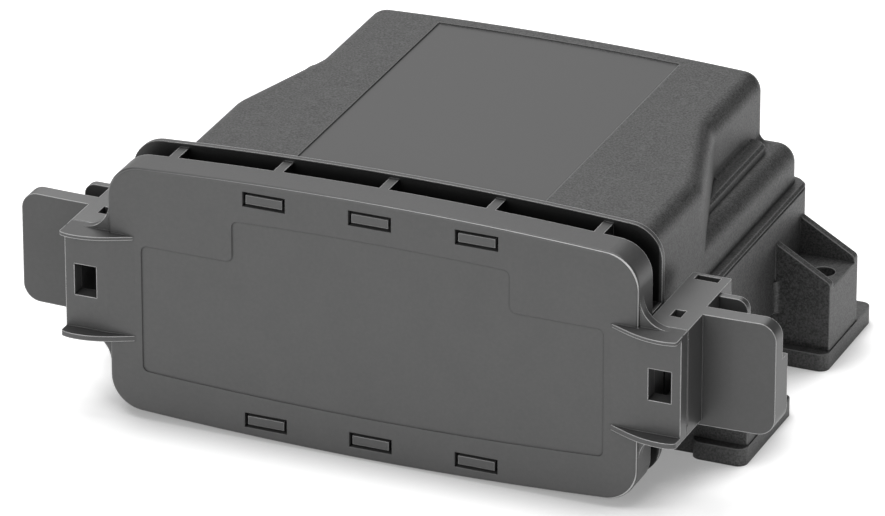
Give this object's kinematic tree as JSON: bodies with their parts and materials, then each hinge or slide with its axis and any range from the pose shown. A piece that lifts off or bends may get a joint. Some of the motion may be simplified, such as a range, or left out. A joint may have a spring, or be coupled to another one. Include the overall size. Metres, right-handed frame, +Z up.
{
  "type": "injection moulded plastic housing",
  "caption": "Dark moulded plastic equipment housing: hollow body on bolt-down lugs, plug-in front cover with ribbed rim, side brackets and swinging lock levers.",
  "frame": {"origin": "on the floor under the middle of the whole part's box", "axes": "+X along the cover's width to the right as seen from the front, +Y from the front cover back into the body, +Z up"},
  "size_m": [0.243, 0.156, 0.0862],
  "materials": {
    "body_plastic": "fine spark-eroded grain",
    "tray_plastic": "fine spark-eroded grain",
    "cover_plastic": "smooth satin",
    "carrier_plastic": "smooth satin",
    "lever_plastic": "smooth satin",
    "seal_rubber": "matt",
    "screw_steel": "zinc plated"
  },
  "bodies": {
    "housing": {"upper_shell": "body_plastic", "base_tray": "tray_plastic", "base_seal": "seal_rubber", "base_screws": "screw_steel"},
    "cover": {"front_cover": "cover_plastic", "seal_carrier": "carrier_plastic", "cover_seal": "seal_rubber"},
    "right_lever": {"right_lever": "lever_plastic"},
    "left_lever": {"left_lever": "lever_plastic"}
  },
  "joints": [
    {"name": "cover_slide", "type": "slide", "parent": "housing", "child": "cover", "axis": [0, -1, 0], "range_m": [0, 0.06]},
    {"name": "right_lever_hinge", "type": "hinge", "parent": "cover", "child": "right_lever", "pos_m": [0.09755, -0.0666, 0.0426], "axis": [0, 0, -1], "range_deg": [0, 4], "stiffness_Nm_per_rad": 0.6},
    {"name": "left_lever_hinge", "type": "hinge", "parent": "cover", "child": "left_lever", "pos_m": [-0.09755, -0.0666, 0.0426], "axis": [0, 0, 1], "range_deg": [0, 4], "stiffness_Nm_per_rad": 0.6}
  ]
}
